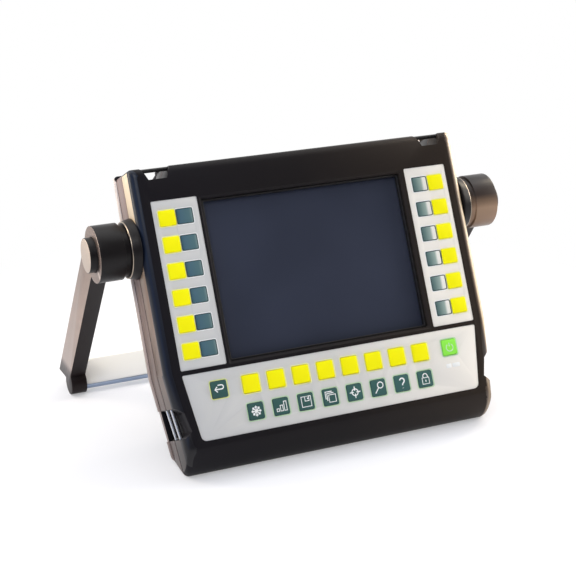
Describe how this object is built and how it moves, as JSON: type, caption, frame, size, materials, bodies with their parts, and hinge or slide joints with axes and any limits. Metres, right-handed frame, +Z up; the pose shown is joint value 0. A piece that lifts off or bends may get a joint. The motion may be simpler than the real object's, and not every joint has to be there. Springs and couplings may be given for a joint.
{
  "type": "ultrasonic flaw detector",
  "caption": "Portable test instrument with a large display, yellow soft keys down both sides, two rows of keys below, strap bars at its corners and a swinging handle that props it up.",
  "frame": {"origin": "centre of the flat heel under the case, on the table it stands on", "axes": "+Z up, +X to the right along the handle's pivot, +Y backwards through the case"},
  "size_m": [0.3402, 0.2093, 0.2094],
  "materials": {
    "case_black": "fine textured, satin",
    "case_brown": "fine textured, satin",
    "seal": "matt",
    "trim_black": "satin black",
    "screen_glass": "polished dark display window",
    "module_steel": "satin",
    "panel_grey": "satin light grey",
    "label_tint": "tinted, polished",
    "board_green": "satin",
    "board_blue": "satin",
    "spacer_brass": "satin",
    "battery": "satin",
    "screw_steel": "satin",
    "socket_chrome": "bright",
    "port_black": "satin",
    "handle_black": "black anodised, satin",
    "bar_aluminium": "satin",
    "button_metal": "turned, satin",
    "key_yellow": "satin bright yellow",
    "key_teal": "satin",
    "key_green": "satin bright green"
  },
  "bodies": {
    "case": {"front_bezel": "case_black", "middle_frame": "case_brown", "rear_shell": "case_black", "case_seals": "seal", "display_trim": "trim_black", "display_glass": "screen_glass", "display_module": "module_steel", "key_panel_left": "panel_grey", "key_panel_right": "panel_grey", "key_panel_bottom": "panel_grey", "label_windows": "label_tint", "keypad_boards": "board_green", "main_board": "board_green", "pulser_board": "board_blue", "board_spacers": "spacer_brass", "battery_pack": "battery", "battery_cover": "case_black", "case_screws": "screw_steel", "strap_bars": "screw_steel", "probe_sockets": "socket_chrome", "port_sockets": "port_black", "rear_feet": "seal", "pivot_bases": "handle_black", "pivot_shafts": "screw_steel"},
    "handle": {"handle_arm_left": "handle_black", "handle_arm_right": "handle_black", "handle_bar": "bar_aluminium", "release_springs": "screw_steel"},
    "release_button_left": {"release_button_left": "button_metal"},
    "release_button_right": {"release_button_right": "button_metal"},
    "key_left_1": {"key_left_1": "key_yellow"},
    "key_left_2": {"key_left_2": "key_yellow"},
    "key_left_3": {"key_left_3": "key_yellow"},
    "key_left_4": {"key_left_4": "key_yellow"},
    "key_left_5": {"key_left_5": "key_yellow"},
    "key_left_6": {"key_left_6": "key_yellow"},
    "key_right_1": {"key_right_1": "key_yellow"},
    "key_right_2": {"key_right_2": "key_yellow"},
    "key_right_3": {"key_right_3": "key_yellow"},
    "key_right_4": {"key_right_4": "key_yellow"},
    "key_right_5": {"key_right_5": "key_yellow"},
    "key_right_6": {"key_right_6": "key_yellow"},
    "key_yellow_1": {"key_yellow_1": "key_yellow"},
    "key_yellow_2": {"key_yellow_2": "key_yellow"},
    "key_yellow_3": {"key_yellow_3": "key_yellow"},
    "key_yellow_4": {"key_yellow_4": "key_yellow"},
    "key_yellow_5": {"key_yellow_5": "key_yellow"},
    "key_yellow_6": {"key_yellow_6": "key_yellow"},
    "key_yellow_7": {"key_yellow_7": "key_yellow"},
    "key_yellow_8": {"key_yellow_8": "key_yellow"},
    "key_freeze": {"key_freeze": "key_teal"},
    "key_signal": {"key_signal": "key_teal"},
    "key_save": {"key_save": "key_teal"},
    "key_copy": {"key_copy": "key_teal"},
    "key_gate": {"key_gate": "key_teal"},
    "key_zoom": {"key_zoom": "key_teal"},
    "key_help": {"key_help": "key_teal"},
    "key_lock": {"key_lock": "key_teal"},
    "key_escape": {"key_escape": "key_teal"},
    "key_power": {"key_power": "key_green"}
  },
  "joints": [
    {"name": "handle_pivot", "type": "hinge", "parent": "case", "child": "handle", "pos_m": [0, 0.07784, 0.1518], "axis": [1, 0, 0], "range_deg": [-15, 125]},
    {"name": "release_left_press", "type": "slide", "parent": "handle", "child": "release_button_left", "axis": [1, 0, 0], "range_m": [0, 0.004], "stiffness_N_per_m": 1200, "springref_m": -0.003},
    {"name": "release_right_press", "type": "slide", "parent": "handle", "child": "release_button_right", "axis": [-1, 0, 0], "range_m": [0, 0.004], "stiffness_N_per_m": 1200, "springref_m": -0.003},
    {"name": "key_left_1_press", "type": "slide", "parent": "case", "child": "key_left_1", "axis": [0, 0.885, -0.4656], "range_m": [0, 0.0006], "stiffness_N_per_m": 1500, "springref_m": -0.0004},
    {"name": "key_left_2_press", "type": "slide", "parent": "case", "child": "key_left_2", "axis": [0, 0.885, -0.4656], "range_m": [0, 0.0006], "stiffness_N_per_m": 1500, "springref_m": -0.0004},
    {"name": "key_left_3_press", "type": "slide", "parent": "case", "child": "key_left_3", "axis": [0, 0.885, -0.4656], "range_m": [0, 0.0006], "stiffness_N_per_m": 1500, "springref_m": -0.0004},
    {"name": "key_left_4_press", "type": "slide", "parent": "case", "child": "key_left_4", "axis": [0, 0.885, -0.4656], "range_m": [0, 0.0006], "stiffness_N_per_m": 1500, "springref_m": -0.0004},
    {"name": "key_left_5_press", "type": "slide", "parent": "case", "child": "key_left_5", "axis": [0, 0.885, -0.4656], "range_m": [0, 0.0006], "stiffness_N_per_m": 1500, "springref_m": -0.0004},
    {"name": "key_left_6_press", "type": "slide", "parent": "case", "child": "key_left_6", "axis": [0, 0.885, -0.4656], "range_m": [0, 0.0006], "stiffness_N_per_m": 1500, "springref_m": -0.0004},
    {"name": "key_right_1_press", "type": "slide", "parent": "case", "child": "key_right_1", "axis": [0, 0.885, -0.4656], "range_m": [0, 0.0006], "stiffness_N_per_m": 1500, "springref_m": -0.0004},
    {"name": "key_right_2_press", "type": "slide", "parent": "case", "child": "key_right_2", "axis": [0, 0.885, -0.4656], "range_m": [0, 0.0006], "stiffness_N_per_m": 1500, "springref_m": -0.0004},
    {"name": "key_right_3_press", "type": "slide", "parent": "case", "child": "key_right_3", "axis": [0, 0.885, -0.4656], "range_m": [0, 0.0006], "stiffness_N_per_m": 1500, "springref_m": -0.0004},
    {"name": "key_right_4_press", "type": "slide", "parent": "case", "child": "key_right_4", "axis": [0, 0.885, -0.4656], "range_m": [0, 0.0006], "stiffness_N_per_m": 1500, "springref_m": -0.0004},
    {"name": "key_right_5_press", "type": "slide", "parent": "case", "child": "key_right_5", "axis": [0, 0.885, -0.4656], "range_m": [0, 0.0006], "stiffness_N_per_m": 1500, "springref_m": -0.0004},
    {"name": "key_right_6_press", "type": "slide", "parent": "case", "child": "key_right_6", "axis": [0, 0.885, -0.4656], "range_m": [0, 0.0006], "stiffness_N_per_m": 1500, "springref_m": -0.0004},
    {"name": "key_yellow_1_press", "type": "slide", "parent": "case", "child": "key_yellow_1", "axis": [0, 0.885, -0.4656], "range_m": [0, 0.0006], "stiffness_N_per_m": 1500, "springref_m": -0.0004},
    {"name": "key_yellow_2_press", "type": "slide", "parent": "case", "child": "key_yellow_2", "axis": [0, 0.885, -0.4656], "range_m": [0, 0.0006], "stiffness_N_per_m": 1500, "springref_m": -0.0004},
    {"name": "key_yellow_3_press", "type": "slide", "parent": "case", "child": "key_yellow_3", "axis": [0, 0.885, -0.4656], "range_m": [0, 0.0006], "stiffness_N_per_m": 1500, "springref_m": -0.0004},
    {"name": "key_yellow_4_press", "type": "slide", "parent": "case", "child": "key_yellow_4", "axis": [0, 0.885, -0.4656], "range_m": [0, 0.0006], "stiffness_N_per_m": 1500, "springref_m": -0.0004},
    {"name": "key_yellow_5_press", "type": "slide", "parent": "case", "child": "key_yellow_5", "axis": [0, 0.885, -0.4656], "range_m": [0, 0.0006], "stiffness_N_per_m": 1500, "springref_m": -0.0004},
    {"name": "key_yellow_6_press", "type": "slide", "parent": "case", "child": "key_yellow_6", "axis": [0, 0.885, -0.4656], "range_m": [0, 0.0006], "stiffness_N_per_m": 1500, "springref_m": -0.0004},
    {"name": "key_yellow_7_press", "type": "slide", "parent": "case", "child": "key_yellow_7", "axis": [0, 0.885, -0.4656], "range_m": [0, 0.0006], "stiffness_N_per_m": 1500, "springref_m": -0.0004},
    {"name": "key_yellow_8_press", "type": "slide", "parent": "case", "child": "key_yellow_8", "axis": [0, 0.885, -0.4656], "range_m": [0, 0.0006], "stiffness_N_per_m": 1500, "springref_m": -0.0004},
    {"name": "key_freeze_press", "type": "slide", "parent": "case", "child": "key_freeze", "axis": [0, 0.885, -0.4656], "range_m": [0, 0.0006], "stiffness_N_per_m": 1500, "springref_m": -0.0004},
    {"name": "key_signal_press", "type": "slide", "parent": "case", "child": "key_signal", "axis": [0, 0.885, -0.4656], "range_m": [0, 0.0006], "stiffness_N_per_m": 1500, "springref_m": -0.0004},
    {"name": "key_save_press", "type": "slide", "parent": "case", "child": "key_save", "axis": [0, 0.885, -0.4656], "range_m": [0, 0.0006], "stiffness_N_per_m": 1500, "springref_m": -0.0004},
    {"name": "key_copy_press", "type": "slide", "parent": "case", "child": "key_copy", "axis": [0, 0.885, -0.4656], "range_m": [0, 0.0006], "stiffness_N_per_m": 1500, "springref_m": -0.0004},
    {"name": "key_gate_press", "type": "slide", "parent": "case", "child": "key_gate", "axis": [0, 0.885, -0.4656], "range_m": [0, 0.0006], "stiffness_N_per_m": 1500, "springref_m": -0.0004},
    {"name": "key_zoom_press", "type": "slide", "parent": "case", "child": "key_zoom", "axis": [0, 0.885, -0.4656], "range_m": [0, 0.0006], "stiffness_N_per_m": 1500, "springref_m": -0.0004},
    {"name": "key_help_press", "type": "slide", "parent": "case", "child": "key_help", "axis": [0, 0.885, -0.4656], "range_m": [0, 0.0006], "stiffness_N_per_m": 1500, "springref_m": -0.0004},
    {"name": "key_lock_press", "type": "slide", "parent": "case", "child": "key_lock", "axis": [0, 0.885, -0.4656], "range_m": [0, 0.0006], "stiffness_N_per_m": 1500, "springref_m": -0.0004},
    {"name": "key_escape_press", "type": "slide", "parent": "case", "child": "key_escape", "axis": [0, 0.885, -0.4656], "range_m": [0, 0.0006], "stiffness_N_per_m": 1500, "springref_m": -0.0004},
    {"name": "key_power_press", "type": "slide", "parent": "case", "child": "key_power", "axis": [0, 0.885, -0.4656], "range_m": [0, 0.0006], "stiffness_N_per_m": 1500, "springref_m": -0.0004}
  ]
}
